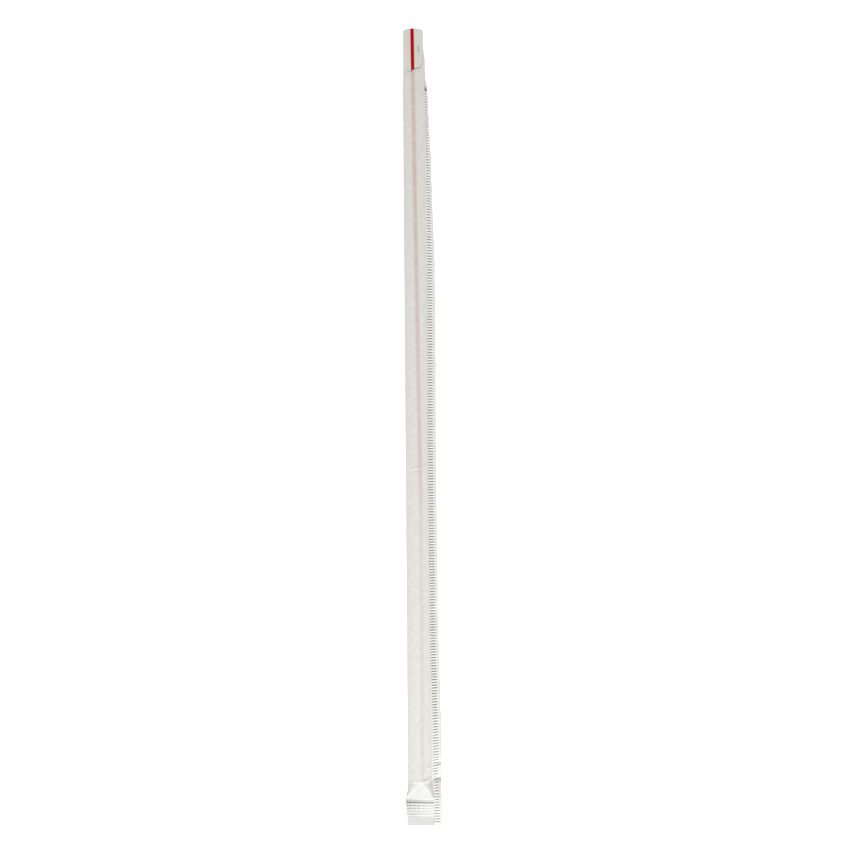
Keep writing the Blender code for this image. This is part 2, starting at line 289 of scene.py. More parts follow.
def make_object(name, mesh, material):
    """Turns a finished bmesh into an object at the origin."""
    data = bpy.data.meshes.new(name)
    mesh.to_mesh(data)
    mesh.free()
    data.materials.append(material)
    made = bpy.data.objects.new(name, data)
    bpy.context.scene.collection.objects.link(made)
    return made


def finish_piece(name, mesh, material, node_name):
    """Makes the object, shades it smooth, hangs it on the root and hides the imported part it
    stands for.
    """
    piece = make_object(name, mesh, material)
    piece.data.shade_smooth()
    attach(piece, "root")
    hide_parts(node_name)
    return piece


def nick_depth(point):
    """A short slanted dent pressed into the bare end of the straw."""
    turn = math.degrees(math.atan2(point.z - AXIS_HEIGHT, point.x - AXIS_ACROSS))
    down = MOUTH_Y - point.y - NICK_DISTANCE
    round_wall = math.radians(turn - NICK_TURN) * STRAW_RADIUS + down * NICK_SLANT
    shape = (down / NICK_LENGTH) ** 2 + (round_wall / NICK_WIDTH / 2) ** 2
    return NICK_DEPTH * math.exp(-shape)


def edge_middle(edge):
    return (edge.verts[0].co + edge.verts[1].co) / 2


def build_straw():
    mesh = bmesh.new()
    inner = STRAW_RADIUS - STRAW_WALL
    corners = ((STRAW_RADIUS, 0), (inner, 0), (inner, STRAW_LENGTH), (STRAW_RADIUS, STRAW_LENGTH))
    ring = [mesh.verts.new(place(radius, distance, AXIS_HEIGHT)) for radius, distance in corners]
    for first, second in zip(ring, ring[1:] + ring[:1]):
        mesh.edges.new((first, second))
    bmesh.ops.bevel(mesh, geom=mesh.verts[:], offset=LIP_ROUNDING, segments=3, profile=0.5,
                    affect="VERTICES", material=-1)
    long_edges = [edge for edge in mesh.edges if edge.calc_length() > STRAW_LENGTH / 2]
    bmesh.ops.subdivide_edges(mesh, edges=long_edges, cuts=COVERED_CUTS)
    bare = [edge for edge in mesh.edges
            if edge.calc_length() > STRAW_WALL and edge_middle(edge).y > MOUTH_Y - BARE_LENGTH]
    bmesh.ops.subdivide_edges(mesh, edges=bare, cuts=BARE_CUTS)
    axis_point = place(0, 0, AXIS_HEIGHT)
    bmesh.ops.spin(mesh, geom=mesh.verts[:] + mesh.edges[:], cent=axis_point, axis=(0, 1, 0),
                   angle=math.tau, steps=STRAW_SIDES, use_merge=True)
    bmesh.ops.recalc_face_normals(mesh, faces=mesh.faces)
    for vert in mesh.verts:
        outward = Vector((vert.co.x - AXIS_ACROSS, 0, vert.co.z - AXIS_HEIGHT)).normalized()
        vert.co -= outward * nick_depth(vert.co)
    return finish_piece("striped_straw", mesh, PLASTIC, "straw")


straw = build_straw()
print("straw mesh:", len(straw.data.polygons), "faces")

# %% [markdown]
# ## Straw-wrap paper
# The wrapper is uncoated tissue of about 28 grams a square metre. It is matt and a warm white, a
# little cloudy where the fibres lie unevenly, and so thin that the stripe shows through it as a
# soft pink band: strong near the mouth, where the paper is snug on the plastic, and weak where it
# stands off. The band is painted into the paper's colour, because a see-through paper would lose
# it in most other programs. Past the straw's end nothing white lies behind the paper, so it looks
# greyer and a little cooler there. Four marks follow the folds, so the sheet carries each as an
# attribute: where two plies lie together and where loose fibres stand at the tear it is whiter,
# the ribs' troughs, where the teeth pressed, are darkened with painted shade, and one small pocket
# is painted dark as its shadow.

# %% Make the paper
PINK_AT_CREASE = 0.8
PINK_LOOSE = 0.42
NO_STRAW = "#eaecef"
# The last two marks are painted shade: a grey for the ribs' troughs and a near black for the shadow
# in the seam's pocket
MARKS = (("double", "#f8f7f4"), ("torn", "#f8f7f4"), ("trough_shade", "#999793"), ("pocket_shadow", "#242220"))
SNUG_STRETCH = (12 * MM, 112 * MM)
LOOSE_STRETCH = (114 * MM, 130 * MM)
STRAW_END_Y = MOUTH_Y - STRAW_LENGTH
PATCH_SIZE = 1.6 * MM
FLOC_SIZE = 1.1 * MM
FIBRE_SIZE = 0.22 * MM
SAG_SIZE = 2.4 * MM


def wrapping_paper():
    material, tree, shader = new_material("straw_wrap_paper")
    away, place_along, position = stripe_distance(tree)
    pink = node(tree, "MapRange", away, 0.05 * MM, 0.85 * MM, 1, 0, **SOFT_STEP)
    start, end = (MOUTH_Y - distance for distance in SNUG_STRETCH)
    snug = node(tree, "MapRange", place_along, start, end, 1, PINK_AT_CREASE, **SOFT_STEP)
    start, end = (MOUTH_Y - distance for distance in LOOSE_STRETCH)
    strength = node(tree, "MapRange", place_along, start, end, snug, PINK_LOOSE, **SOFT_STEP)
    covered = node(tree, "MapRange", place_along, STRAW_END_Y - 0.6 * MM,
                   STRAW_END_Y + 1.2 * MM, **SOFT_STEP)
    patchy = node(tree, "TexNoise", position, Scale=1 / PATCH_SIZE, Detail=3)
    patchy = node(tree, "MapRange", patchy, 0.3, 0.7, 0.8, 1.1, **SOFT_STEP)
    for share in (strength, covered, patchy):
        pink = node(tree, "Math", pink, share, operation="MULTIPLY")
    flocs = node(tree, "TexNoise", position, Scale=1 / FLOC_SIZE, Detail=4, Roughness=0.6)
    flocs = node(tree, "MapRange", flocs, 0.3, 0.7, **SOFT_STEP)
    fibres = node(tree, "TexNoise", position, Scale=1 / FIBRE_SIZE, Detail=3, Roughness=0.7)
    bright = node(tree, "MapRange", fibres, 0.35, 0.7, 0, 0.3, **SOFT_STEP)
    white = node(tree, "Mix", flocs, linear("#d9d7d1"), linear("#e1dfda"), **COLOURS)
    white = node(tree, "Mix", bright, white, linear("#e8e6e1"), **COLOURS)
    hollow = node(tree, "MapRange", place_along, STRAW_END_Y + 1 * MM, STRAW_END_Y - 0.5 * MM,
                  **SOFT_STEP)
    white = node(tree, "Mix", hollow, white, linear(NO_STRAW), blend_type="MULTIPLY", **COLOURS)
    # Each mark lightens the paper, or darkens it with painted shade in the troughs and the pocket
    for mark, mark_colour in MARKS:
        marked = node(tree, "Attribute", attribute_name=mark).node.outputs["Fac"]
        white = node(tree, "Mix", marked, white, linear(mark_colour), **COLOURS)
    colour = node(tree, "Mix", pink, white, linear("#d2bbb9"), **COLOURS)
    grain = node(tree, "Bump", Strength=0.35, Distance=0.03 * MM, Height=fibres)
    sag = node(tree, "TexNoise", position, Scale=1 / SAG_SIZE)
    sag = node(tree, "Bump", Strength=0.5, Distance=0.07 * MM, Height=sag, Normal=grain)
    rough = node(tree, "MapRange", fibres, 0.3, 0.7, 0.78, 0.92, **SOFT_STEP)
    feed(tree, shader, Base_Color=colour, IOR=1.45, Specular_IOR_Level=0.25, Roughness=rough,
         Normal=sag)
    return material


PAPER_WHITE = wrapping_paper()
print("material:", PAPER_WHITE.name)

# %% [markdown]
# ## How the paper is folded
# The wrapper could be modelled in its folded form, face by face. Here it is made the way the
# machine makes it: a flat sheet, cut to size, and then folded. So first come the rules that say
# where a spot of the flat sheet ends up. Across the sheet there are three stretches: the upper
# ply of the seam, the part that goes round the straw, and the lower ply of the seam. Round the
# straw the paper is nearly a circle, and where it is wider it is a little lower.

# %% Say where the round part goes
PAPER = 0.05 * MM
PLY = 0.056 * MM
TUBE_LEFT = 2.775 * MM
TUBE_RIGHT = ((5, 2.80), (12, 2.84), (20, 3.0), (84, 3.2), (114, 3.12), (150, 3.3), (185, 3.45))
HALF_AXES_TOGETHER = 5.92 * MM
LEAST_HALF_HEIGHT = 2.79 * MM
MOST_UPRIGHT = 0.02 * MM
GABLE_AT = STRAW_LENGTH + 0.05 * MM
SEAM_TURN_AT_MOUTH = 8
SEAM_TURN_AT_MIDDLE = 28
SEAM_TURN_AT_END = 5


def seam_turn(distance):
    """How far below level the seam's root lies, in degrees."""
    turn = between(SEAM_TURN_AT_MOUTH, SEAM_TURN_AT_MIDDLE, rise(distance, 10, 80))
    return between(turn, SEAM_TURN_AT_END, rise(distance, 157, 40))


def ellipse_point(turn, distance, outward=0.0):
    """A point of the round paper at this turn, pushed outward by a crease or a hollow."""
    right = along(TUBE_RIGHT, distance)
    half_width = (right + TUBE_LEFT) / 2
    flattened = min(HALF_AXES_TOGETHER - half_width, half_width + MOST_UPRIGHT)
    half_height = max(LEAST_HALF_HEIGHT, flattened)
    angle = math.radians(turn)
    across = (right - TUBE_LEFT) / 2 + (half_width + outward) * math.cos(angle)
    return place(across, distance, AXIS_HEIGHT + (half_height + outward) * math.sin(angle))


print("paper tube", round((along(TUBE_RIGHT, 0.1) + TUBE_LEFT) / MM, 2), "mm across")

# %% [markdown]
# ## Creases and hollows
# Soft paper keeps the marks of every hand that held it. Noise gives it shallow hollows, but the
# marks that catch the eye are straight ridges where the tube was bent or pinched, and each of
# those is a line on the sheet with a height and a width.

# %% List the creases
# Each crease: turn and distance of its start, the same of its end, its height, and its width on
# the sealed end's side and on the mouth's side
CREASES = (
    (6, 113.9, 74, 114.75, 0.07, 0.15, 0.13),
    (74, 114.75, 98, 114.95, 0.06, 0.16, 0.16),
    (80, 115.6, 98, 115.6, -0.06, 0.18, 0.18),
    (100, 115.0, 118, 115.1, 0.04, 0.18, 0.18),
    (104, 116.1, 124, 116.2, -0.025, 0.18, 0.18),
    (118, 115.2, 134, 117.0, 0.025, 0.18, 0.18),
    (110, 117.0, 126, 117.9, 0.02, 0.18, 0.18),
    (128, 116.9, 142, 118.2, -0.02, 0.18, 0.18),
    (60, 30.2, 38, 31.2, 0.05, 0.18, 0.18),
    (2, 192.3, 40, 193.6, 0.09, 0.15, 0.70),
    (40, 193.6, 66, 195.2, 0.08, 0.16, 0.70),
    (70, 197.0, 4, 196.2, 0.15, 0.16, 0.50),
    (60, 197.5, 30, 197.3, -0.12, 0.20, 0.20),
    (30, 199.2, 6, 198.2, 0.06, 0.20, 0.20),
    (150, 193.5, 118, 196.8, 0.04, 0.22, 0.40),
    (128, 194.6, 104, 197.2, 0.03, 0.20, 0.40),
    (98, 150.0, 60, 151.2, 0.02, 0.40, 0.60),
    (140, 72.0, 96, 73.4, 0.02, 0.40, 0.60),
)
CREASE_REACH = 8
ROUND_OF_SHEET = 2.95
SLOW_HOLLOW = 0.06
QUICK_HOLLOW = 0.03


def sheet_spot(turn, place_down):
    """A spot of the flat sheet in millimetres, from its turn and its distance from the mouth."""
    return Vector((math.radians(turn) * ROUND_OF_SHEET, place_down))


def from_line(spot, start, end):
    """How far a spot of the flat sheet is from a line on it, with a minus on the mouth's side."""
    line = end - start
    share = clamp((spot - start).dot(line) / line.length_squared)
    offset = spot - start - line * share
    return math.copysign(offset.length, offset.y)


def crease_height(turn, distance):
    """The ridges, and with a minus sign the valleys, that pass this spot of the paper tube."""
    spot = sheet_spot((turn + 30) % 360 - 30, distance / MM)
    height = 0.0
    for turn_a, place_a, turn_b, place_b, ridge, width, mouth_width in CREASES:
        if abs(distance / MM - (place_a + place_b) / 2) > CREASE_REACH:
            continue
        away = from_line(spot, sheet_spot(turn_a, place_a), sheet_spot(turn_b, place_b))
        height += ridge * math.exp(-(away / (width if away > 0 else mouth_width)) ** 2)
    return height * MM


def hollows(turn, distance):
    """Shallow unevenness, only ever outwards, because the straw is right behind the paper."""
    angle = math.radians(turn)
    spot = Vector((math.cos(angle) * 1.1, distance / MM * 0.16, math.sin(angle) * 1.1))
    slow = max(0.0, noise.noise(spot))
    quick = max(0.0, noise.noise(spot * 3.7 + Vector((9, 0, 0))))
    return (SLOW_HOLLOW * slow + QUICK_HOLLOW * quick) * MM


print(len(CREASES), "creases")

# %% [markdown]
# ## The gable and the flat end
# Past the straw's end the round paper is pressed flat. A tube pressed flat closes like a carton:
# a flat three-cornered face above and below, and a cone on either side of them that narrows to
# each corner of the seal. Each cross-section of that shape is part straight line, part shrinking
# arc. The paper neither stretches nor shrinks, so a spot's share of the way round stays the same.

# %% Say where the closed end goes
SEAL_AT = GABLE_AT + 4.85 * MM
SEAL_MARGIN = 2.4 * MM
FLAT_LEFT = -3.5 * MM
FLAT_RIGHT = 4.1 * MM
SEAL_SLANT = 0.62 * MM
SEAL_HEIGHT = AXIS_HEIGHT
GABLE_TOP_TURN = 79.0
GABLE_BOTTOM_TURN = 270.0
LEFT_ARCH = 0.08
RIGHT_ARCH = 0.15
CREASE_FALL = 0.6
ROUND_KEPT = 1.5
FLARE_LATE = 3.0
ARC_STEPS = 14


def flat_edges(distance):
    """The left and right borders of the flattened tube in the end seal."""
    share = (distance - SEAL_AT) / (TOTAL_LENGTH - SEAL_AT)
    return FLAT_LEFT + SEAL_SLANT * max(0.0, share), FLAT_RIGHT


def flat_across(share, distance):
    """How far across a spot of the flattened tube lies, from its share of the way round."""
    left, right = flat_edges(distance)
    return between(right, left, 1 - abs(1 - 2 * share))


def gable_share(distance):
    """How far along the gable a cross-section lies, from 0 to 1."""
    return clamp((distance - GABLE_AT) / (SEAL_AT - GABLE_AT))


def bulge(share):
    """How far a quarter circle stands out from its chord: nothing at both ends."""
    return math.sqrt(1 - (1 - share) ** 2) - share


def gable_outline(share, distance):
    """The closed end's cross-section as a list of points, from the seam's root round to it."""
    left, right = flat_edges(SEAL_AT)
    turn = seam_turn(GABLE_AT)
    arcs = ((-turn, GABLE_TOP_TURN, right, 1, RIGHT_ARCH),
            (GABLE_TOP_TURN, 180, left, 1, LEFT_ARCH),
            (180, GABLE_BOTTOM_TURN, left, -1, LEFT_ARCH),
            (GABLE_BOTTOM_TURN, 360 - turn, right, -1, RIGHT_ARCH))
    outline = []
    for index, (start, end, corner, side, arch) in enumerate(arcs):
        for step in range(ARC_STEPS + 1):
            part = step / ARC_STEPS
            from_tube = ellipse_point(between(start, end, part), GABLE_AT)
            target = place(corner, distance, SEAL_HEIGHT + side * PLY)
            from_tube.y = target.y
            # Away from the facets the paper stays round longer; beside them it falls away sharply
            near = part if index % 2 == 0 else 1 - part
            spot = from_tube.lerp(target, between(share ** ROUND_KEPT, share, near ** 3))
            flare = between(share ** FLARE_LATE, share, near)
            spot.x = between(from_tube.x, target.x, flare)
            spot.x += near ** 2 * arch * bulge(share) * (target.x - from_tube.x)
            fall = CREASE_FALL * near ** 2 * (1 - near) * smooth(share / 0.15) * (1 - share)
            spot.z -= side * fall * AXIS_HEIGHT
            outline.append(spot)
    return outline


def resample(outline, share_round):
    """The point at this share of an outline's length."""
    lengths = [(b - a).length for a, b in zip(outline, outline[1:])]
    left_over = share_round * sum(lengths)
    for length, a, b in zip(lengths, outline, outline[1:]):
        if left_over <= length and length > 0:
            return a.lerp(b, left_over / length)
        left_over -= length
    return outline[-1]


print("gable", round((SEAL_AT - GABLE_AT) / MM, 2), "mm long")

# %% [markdown]
# ## The facets
# The two flat faces of the gable aren't quite flat. The paper there has nothing behind it, so it
# sinks a little, and the ridges that run to the seal's corners stand a little proud.

# %% Sink the facets
FACET_HOLLOW = 0.16 * MM
FACET_RIDGE = 0.04 * MM
FACET_RIDGE_WIDTH = 0.22 * MM
FACET_FADE = 0.12


def facet_fold(spot, share):
    """How far above or below flat a spot of a facet or its ridges lies."""
    side = 1 if spot.z > SEAL_HEIGHT else -1
    apex_turn = GABLE_TOP_TURN if side > 0 else GABLE_BOTTOM_TURN
    apex = ellipse_point(apex_turn, GABLE_AT).x
    left, right = (AXIS_ACROSS + edge for edge in flat_edges(SEAL_AT))
    low = between(apex, left, share + LEFT_ARCH * bulge(share))
    high = between(apex, right, share + RIGHT_ARCH * bulge(share))
    ridge = sum(math.exp(-((spot.x - x) / FACET_RIDGE_WIDTH) ** 2) for x in (low, high))
    part = (spot.x - low) / max(high - low, 0.01 * MM)
    hollow = math.sin(math.pi * part) * share * (1 - share) * 4 if 0 < part < 1 else 0.0
    fade = smooth(share / FACET_FADE) * smooth((1 - share) / FACET_FADE)
    return side * (FACET_RIDGE * ridge * fade - FACET_HOLLOW * hollow)


print("facets", FACET_HOLLOW / MM, "mm hollow")

# %% [markdown]
# ## The ribs' profile
# Toothed wheels leave ribs with flat tops, narrower troughs and steep flanks, so a sine wave would
# look too soft. The sheet has four rows to a rib, and these are moved onto the corners of that
# profile, which makes the ribs crisp with no more points than a soft wave would need.

# %% Shape a rib
RIB_PITCH = 0.727 * MM
RIB_PEAK = 203.3 * MM
RIB_TOP = 0.46
RIB_TROUGH = 0.12
RIB_HEIGHT = 0.32 * MM
RIBS_START = 15.3 * MM


def rib_wave(distance):
    """The profile as a wave from -1 to 1, one to each pitch."""
    phase = (distance - RIB_PEAK) / RIB_PITCH
    away = abs(phase - math.floor(phase + 0.5))
    flank = 0.5 - RIB_TOP / 2 - RIB_TROUGH / 2
    return 1 - 2 * clamp((away - RIB_TOP / 2) / flank)


def to_rib_corner(distance):
    """Moves evenly spaced rows, four to a rib, onto the corners of the ribs' profile."""
    phase = (distance - RIB_PEAK) / RIB_PITCH
    nearest = math.floor(phase + 0.5)
    size = abs(phase - nearest)
    if size < 0.125:
        moved = size / 0.125 * RIB_TOP / 2
    elif size < 0.375:
        moved = between(RIB_TOP / 2, 0.5 - RIB_TROUGH / 2, (size - 0.125) / 0.25)
    else:
        moved = 0.5 - (0.5 - size) / 0.125 * RIB_TROUGH / 2
    return RIB_PEAK + (nearest + math.copysign(moved, phase - nearest)) * RIB_PITCH


print("ribs every", round(RIB_PITCH / MM, 2), "mm")

# %% [markdown]
# ## The ribs across the end seal
# The end seal has the same ribs, as its jaws have the same teeth. The first one is deep, and small
# cross pleats break the next ones into bars, which get weaker towards the seam and the end. The
# jaws sat a little askew, so on the left the ribs lie nearer to the mouth.

# %% Press the end seal
SEAL_RIB_HEIGHT = 0.30 * MM
SEAL_TILT = 0.035
SEAL_LATE = 0.18 * MM
WAFFLE_PITCH = 1.1 * MM
FIRST_RIB = (0.15, 1.15)
FIRST_RIB_TO_SEAM = (0.92, 0.8)
BARS_TO_SEAM = (0.9, 0.38)
BARS_TO_END = (0.9, 0.5)
RIBS_END = TOTAL_LENGTH - SEAL_MARGIN + 0.1 * MM


def seal_ribs(across, distance):
    """The ribs across the end seal, from -1 to 1."""
    if distance < SEAL_AT - 0.2 * MM or distance > RIBS_END:
        return 0.0
    depth = distance - SEAL_AT
    to_seam = rise(across, -3, 6.5)
    first = between(*FIRST_RIB, rise(depth, 0.5, 0.4)) * between(*FIRST_RIB_TO_SEAM, to_seam)
    broken = smooth(0.6 + 0.75 * math.cos(math.tau * across / WAFFLE_PITCH))
    broken = between(broken, 0.7, rise(depth, 3.2, 0.5))
    weaker = between(*BARS_TO_END, rise(depth, 1.8, 1.8))
    bars = (0.3 + 0.7 * broken) * weaker * between(*BARS_TO_SEAM, to_seam)
    share = between(first, bars, rise(depth, 1.4, 0.5))
    ending = smooth((RIBS_END - distance) / (0.4 * MM))
    return rib_wave(distance) * share * ending


def seal_skew(across, distance):
    """How far a spot of the seal moves towards the sealed end, or with a minus the mouth."""
    entering = smooth(gable_share(distance))
    leaving = 1 - smooth((distance - SEAL_AT - 1 * MM) / (4 * MM))
    return (SEAL_TILT * (across - FLAT_RIGHT) + SEAL_LATE) * entering * leaving


print("bars every", WAFFLE_PITCH / MM, "mm")

# %% [markdown]
# ## The round part, put together
# The rules so far come together in one function. The torn edge clings to the straw, apart from
# one corner that has curled up. Past the straw the gable's outline takes over, and then the seal.

# %% Place a spot of the round part
CURL_TURN = 46.0
CURL_SPREAD = 5.0
CURL_HEIGHT = 0.07 * MM
TEAR_SNUG = 0.045 * MM
ROOT_GAP = 1.2


def edge_lift(turn, behind):
    """The torn edge clings to the straw, except for one corner that curls up."""
    close = 1 - smooth(behind / (0.9 * MM))
    curl = CURL_HEIGHT * math.exp(-((turn - CURL_TURN) / CURL_SPREAD) ** 2)
    return (curl - TEAR_SNUG) * close


def tube_spot(share_round, distance, behind):
    """Where a spot of the part that goes round the straw ends up, this far behind the tear."""
    if distance <= GABLE_AT:
        turn = -seam_turn(distance) + ROOT_GAP + (360 - 2 * ROOT_GAP) * share_round
        fade = smooth(min(share_round, 1 - share_round) / 0.06)
        outward = (crease_height(turn, distance) + hollows(turn, distance)) * fade
        outward *= smooth(behind / (1.5 * MM))
        return ellipse_point(turn, distance, outward + edge_lift(turn, behind))
    if distance < SEAL_AT:
        share = gable_share(distance)
        spot = resample(gable_outline(share, distance), share_round)
        turn = -seam_turn(GABLE_AT) + 360 * share_round
        outward = Vector((spot.x - AXIS_ACROSS, 0, spot.z - SEAL_HEIGHT)).normalized()
        fold = facet_fold(spot, share)
        skew = seal_skew(spot.x - AXIS_ACROSS, distance)
        raised = outward * crease_height(turn, distance) * (1 - share)
        return spot + raised + Vector((0, -skew, fold))
    across = flat_across(share_round, distance)
    ply = PLY * ((share_round < 0.5) - (share_round > 0.5))
    skew = seal_skew(across, distance)
    rib = SEAL_RIB_HEIGHT / 2 * seal_ribs(across, distance)
    return place(across, distance + skew, SEAL_HEIGHT + ply + rib)


print("end seal", round((FLAT_RIGHT - FLAT_LEFT) / MM, 1), "mm wide")

# %% [markdown]
# ## The side seam
# The two plies of the seam lie face to face and go through toothed wheels, which press ribs into
# them both. Seen from above, the seam hangs from the tube's side and its outer edge nears the
# table, so how wide it looks says how steeply it hangs. Near the mouth the tear has opened it: it
# narrows to a strip there, and its plies stand a little apart.

# %% Say how the seam hangs
SEAM_WIDTH = 2.9 * MM
TABLE_GAP = 0.01 * MM
SEAM_CUT = ((4, 0.12), (11, 0.4), (13, 0.85), (16, 1.12), (20, 1.4), (26, 1.75), (34, 2.3),
            (46, 2.75), (60, 2.9), (196.5, 2.9), (202, 2.12))
SEAM_EDGE = ((4, 2.95), (12, 3.14), (15, 3.62), (17.6, 3.80), (23.4, 4.02), (28.7, 4.24),
             (34, 4.47), (44.5, 4.76), (60, 4.84), (74, 4.84), (98, 5.08), (107, 5.18),
             (128, 5.30), (150, 5.38), (165, 5.62), (176, 5.93), (190, 6.12), (197, 5.92))
SEAL_DROOP = 16.0
END_DROOP = 5.0
EDGE_CLEARANCE = 0.08 * MM
DROOP_WOBBLE = 0.05


def seam_cut(distance):
    """How wide the seam is: the tear has taken a slanting bite out of it at the mouth."""
    return along(SEAM_CUT, distance)


def hanging(root, droop):
    """The frame of a seam that hangs from this root, this far below level."""
    out = Vector((math.cos(droop), 0, -math.sin(droop)))
    return root, out, Vector((-out.z, 0, out.x))


def seam_frame(distance):
    """The seam's root, its outward direction and its upward direction."""
    if distance >= SEAL_AT:
        root = place(FLAT_RIGHT, distance, SEAL_HEIGHT)
        share = (distance - SEAL_AT) / (TOTAL_LENGTH - SEAL_AT)
        return hanging(root, math.radians(between(SEAL_DROOP, END_DROOP, share)))
    if distance > GABLE_AT:
        share = gable_share(distance)
        before = seam_frame(GABLE_AT)
        after = seam_frame(SEAL_AT)
        out, up = (a.lerp(b, share) for a, b in zip(before[1:], after[1:]))
        root = before[0].lerp(after[0], share ** ROUND_KEPT)
        root.y = place(0, distance, 0).y
        return root, out.normalized(), up.normalized()
    root = ellipse_point(-seam_turn(distance), distance)
    width = seam_cut(distance)
    reach = AXIS_ACROSS + along(SEAM_EDGE, distance) - root.x
    droop = math.acos(clamp(reach / width))
    lowest = math.asin(min(1.0, (root.z - EDGE_CLEARANCE) / width))
    wobble = DROOP_WOBBLE * noise.noise(Vector((distance / MM * 0.09, 4.2, 0)))
    return hanging(root, max(0.0, min(droop + wobble, lowest)))


print("seam", round(SEAM_WIDTH / MM, 1), "mm wide")

# %% [markdown]
# ## Pinches and the pocket
# Two creases of the tube run on across the seam as pinches, where it steps down and is pushed in,
# and these look dark because the light comes from the sealed end. Where the ribs begin, the torn
# seam is punched in deep, into a pocket whose shadow is also painted dark into the paper's colour.

# %% Pinch the seam
PINCHES = ((193.3, 0.32), (197.5, 0.50))
PINCH_RUN = 0.5
DENTS = ((192.3, 193.3, 0.38), (196.4, 197.5, 0.50))
MOUTH_DENT = (14.5, 15.3, 2.10)


def pinch_step(distance):
    """On the mouth's side of each pinch the seam lies a little lower."""
    return sum(height * MM * (1 - smooth((distance / MM - spot) / PINCH_RUN + 0.5))
               for spot, height in PINCHES)


def dent_depth(distance):
    """At each pinch the paper is pushed in, with its steep side towards the sealed end."""
    spot = distance / MM
    return sum(deep * MM * smooth((spot - start) / 0.4) * (1 - smooth((spot - end) / 0.2 + 0.5))
               for start, end, deep in DENTS)


def pinch_fall(reach_share, distance):
    """How far the pinches let a spot of the seam down: its outer edge the most."""
    fall = dent_depth(distance) * smooth(reach_share / 0.6)
    if distance < GABLE_AT + 3 * MM:
        fade = rise(distance, 150, 40) * (1 - smooth((distance - GABLE_AT) / (3 * MM)))
        fall += pinch_step(distance) * reach_share * fade
    return fall


def mouth_dent(reach_share, distance):
    """How deep the torn seam is punched in, between the tube and the seam's edge."""
    start, end, deep = MOUTH_DENT
    spot = distance / MM
    middle = math.exp(-((reach_share - 0.52) / 0.30) ** 4)
    entering = smooth((spot - start) / 0.25 + 0.5)
    leaving = 1 - smooth((spot - end) / 0.2 + 0.5)
    return deep * MM * middle * entering * leaving


print(len(PINCHES), "pinches, and a pocket", MOUTH_DENT[2], "mm deep")

# %% [markdown]
# ## The ribs across the seam
# The ribs stop short of the seam's edge, so a plain border is left there. Past the straw the band
# of ribs starts further out, and in the end seal it starts at the root. The wheels pressed
# deeper near the mouth, where the seam is narrow, than near the seal.

# %% Press the seam
RIB_BAND = (0.48 * MM, 2.05 * MM)
RIB_BAND_PAST_STRAW = (0.85 * MM, 2.25 * MM)
RIB_BAND_AT_SEAL = (0.14 * MM, 1.95 * MM)
BAND_SHARE = 0.165
PRESSED_AT_SEAL = 0.68
PRESSED_AT_MOUTH = 1.45


def rib_band(distance):
    """Where the ribs start and end across the seam."""
    scale = seam_cut(distance) / SEAM_WIDTH
    past_straw = smooth((distance - GABLE_AT) / (0.6 * MM))
    at_seal = gable_share(distance) ** ROUND_KEPT
    bands = zip(RIB_BAND, RIB_BAND_PAST_STRAW, RIB_BAND_AT_SEAL)
    return [between(between(usual, past, past_straw), last, at_seal) * scale
            for usual, past, last in bands]


def seam_reach(reach_share, distance):
    """Turns a column's share into its distance from the root, with columns at the ribs' start."""
    width = seam_cut(distance)
    start = rib_band(distance)[0]
    if reach_share < BAND_SHARE:
        return start * reach_share / BAND_SHARE
    return between(start, width, (reach_share - BAND_SHARE) / (1 - BAND_SHARE))


def seam_ribs(reach, distance):
    """The ribs across the seam, -1 to 1, with a plain border on both sides of them."""
    if distance < RIBS_START or distance > TOTAL_LENGTH - 0.4 * MM:
        return 0.0
    start, end = rib_band(distance)
    band = smooth((reach - start + 0.1 * MM) / (0.2 * MM))
    band *= 1 - smooth((reach - end - 0.02 * MM) / (0.2 * MM))
    wander = 1 + 0.18 * noise.noise(Vector((distance / MM * 0.8, 1.3, reach / MM)))
    pressed = between(1, PRESSED_AT_SEAL, rise(distance, 170, 26))
    pressed *= between(PRESSED_AT_MOUTH, 1, rise(distance, 20, 16))
    return rib_wave(distance) * band * wander * pressed


print("ribs start", round(RIBS_START / MM, 1), "mm down")

# %% [markdown]
# ## The seam, put together
# Tearing the wrapper open pulled at its seam, so near the mouth the plies stand apart and are
# crinkled, and the ribs slant. A spot that would sink into the table is lifted onto it.

# %% Place a spot of the seam
PLIES_OPENED = 45.0
EDGE_WAVE = 0.10 * MM
CRINKLE = 0.22 * MM
MOUTH_SHEAR = 0.42


def seam_spot(reach_share, side, distance):
    """Where a spot of the seam's upper (side 1) or lower (side -1) ply ends up."""
    root, out, up = seam_frame(distance)
    reach = seam_reach(reach_share, distance)
    loose = 1 - rise(distance, 12, 5)
    if side < 0:
        opened = math.radians(PLIES_OPENED) * loose
        out = (out * math.cos(opened) - up * math.sin(opened)).normalized()
    sag = EDGE_WAVE * noise.noise(Vector((distance / MM * 0.35, 7.7, 0))) * reach_share ** 2
    sag -= mouth_dent(reach_share, distance)
    crinkle = noise.noise(Vector((distance / MM * 0.9, reach / MM * 0.8, 5.5)))
    sag += CRINKLE * crinkle * loose * smooth(reach_share / 0.3)
    sag += RIB_HEIGHT / 2 * seam_ribs(reach, distance)
    spot = root + out * reach + up * (side * PLY + sag)
    pulled = rise(distance, 13, 3) * (1 - rise(distance, 22, 10))
    spot.y -= MOUTH_SHEAR * pulled * (spot.x - root.x)
    spot.z -= pinch_fall(reach_share, distance)
    spot.z = max(spot.z, TABLE_GAP + (side + 1) * PLY)
    return spot


print("seam's edge halfway:", [round(v / MM, 2) for v in seam_spot(1, 1, 0.1)])

# %% [markdown]
# ## The torn mouth
# The tear runs from the seam across the top and lies lowest at the back. It is a short list of
# places, with noise for its ragged line. In the seam's two plies it runs on differently, which
# leaves a tongue of paper standing there.

# %% Say where the paper is torn
UPPER_TEAR = 6.0 * MM
